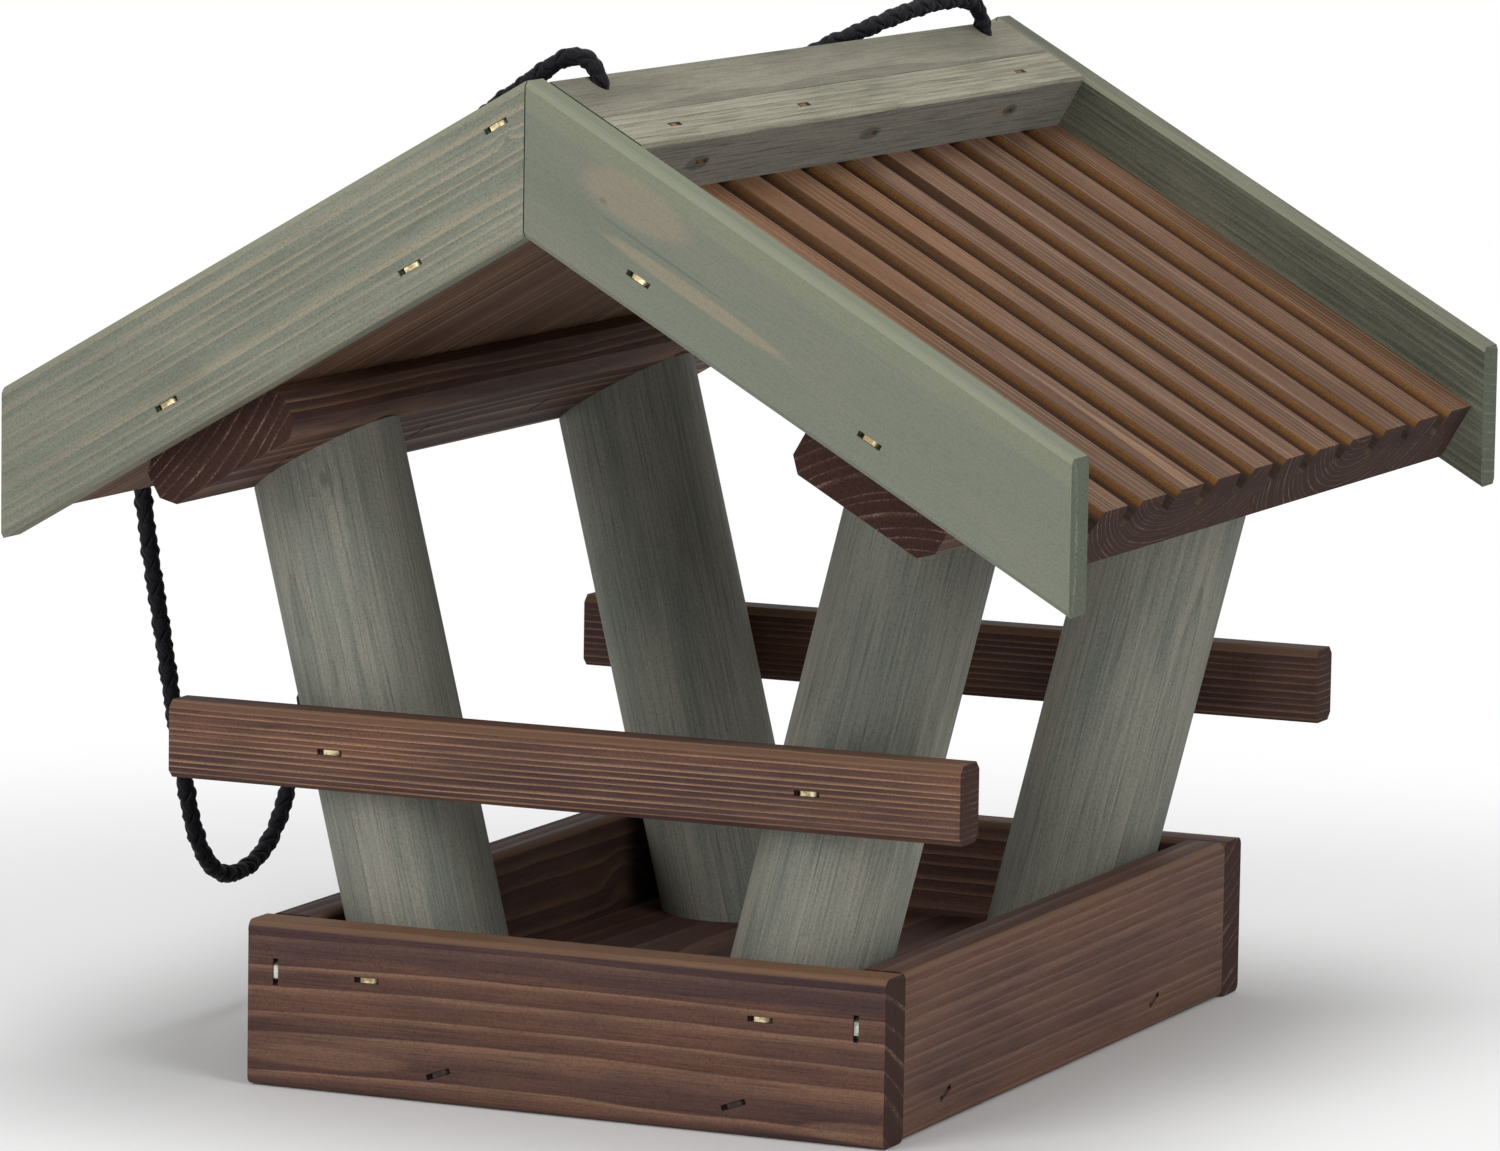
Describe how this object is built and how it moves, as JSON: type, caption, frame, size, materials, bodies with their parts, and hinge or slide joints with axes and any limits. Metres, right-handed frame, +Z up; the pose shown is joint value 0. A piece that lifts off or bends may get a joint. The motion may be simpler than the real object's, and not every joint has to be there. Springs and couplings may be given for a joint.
{
  "type": "bird feeder",
  "caption": "Hanging or standing table feeder: an open wooden seed tray under a grooved gable roof on splayed round posts, with perch rails and a rope loop.",
  "frame": {"origin": "middle of the tray's flat underside", "axes": "+Z up, +Y along the ridge from the front gable to the rear gable, +X to the right seen from the front"},
  "size_m": [0.2918, 0.311, 0.2698],
  "materials": {
    "brown_stained_softwood": "thin brown stain, grain showing",
    "green_grey_stained_softwood": "thin green-grey stain, grain showing",
    "staple_wire": "lacquered steel wire",
    "braided_rope": "black braided cord"
  },
  "bodies": {
    "root": {"tray_front_board": "brown_stained_softwood", "tray_rear_board": "brown_stained_softwood", "tray_left_board": "brown_stained_softwood", "tray_right_board": "brown_stained_softwood", "tray_floor": "brown_stained_softwood", "rail_front": "brown_stained_softwood", "rail_rear": "brown_stained_softwood", "purlin_left": "brown_stained_softwood", "purlin_right": "brown_stained_softwood", "roof_board_front_left": "brown_stained_softwood", "roof_board_front_right": "brown_stained_softwood", "roof_board_rear_left": "brown_stained_softwood", "roof_board_rear_right": "brown_stained_softwood", "post_front_left": "green_grey_stained_softwood", "post_front_right": "green_grey_stained_softwood", "post_rear_left": "green_grey_stained_softwood", "post_rear_right": "green_grey_stained_softwood", "bargeboard_front_left": "green_grey_stained_softwood", "bargeboard_front_right": "green_grey_stained_softwood", "bargeboard_rear_left": "green_grey_stained_softwood", "bargeboard_rear_right": "green_grey_stained_softwood", "ridge_board": "green_grey_stained_softwood", "ridge_strip": "green_grey_stained_softwood", "tray_corner_staples": "staple_wire", "tray_post_staples": "staple_wire", "tray_floor_staples": "staple_wire", "rail_staples": "staple_wire", "bargeboard_staples": "staple_wire", "ridge_staples": "staple_wire", "purlin_roof_staples": "staple_wire", "purlin_post_staples": "staple_wire", "hanging_rope": "braided_rope", "rope_knot_front": "braided_rope", "rope_knot_rear": "braided_rope"}
  },
  "joints": []
}
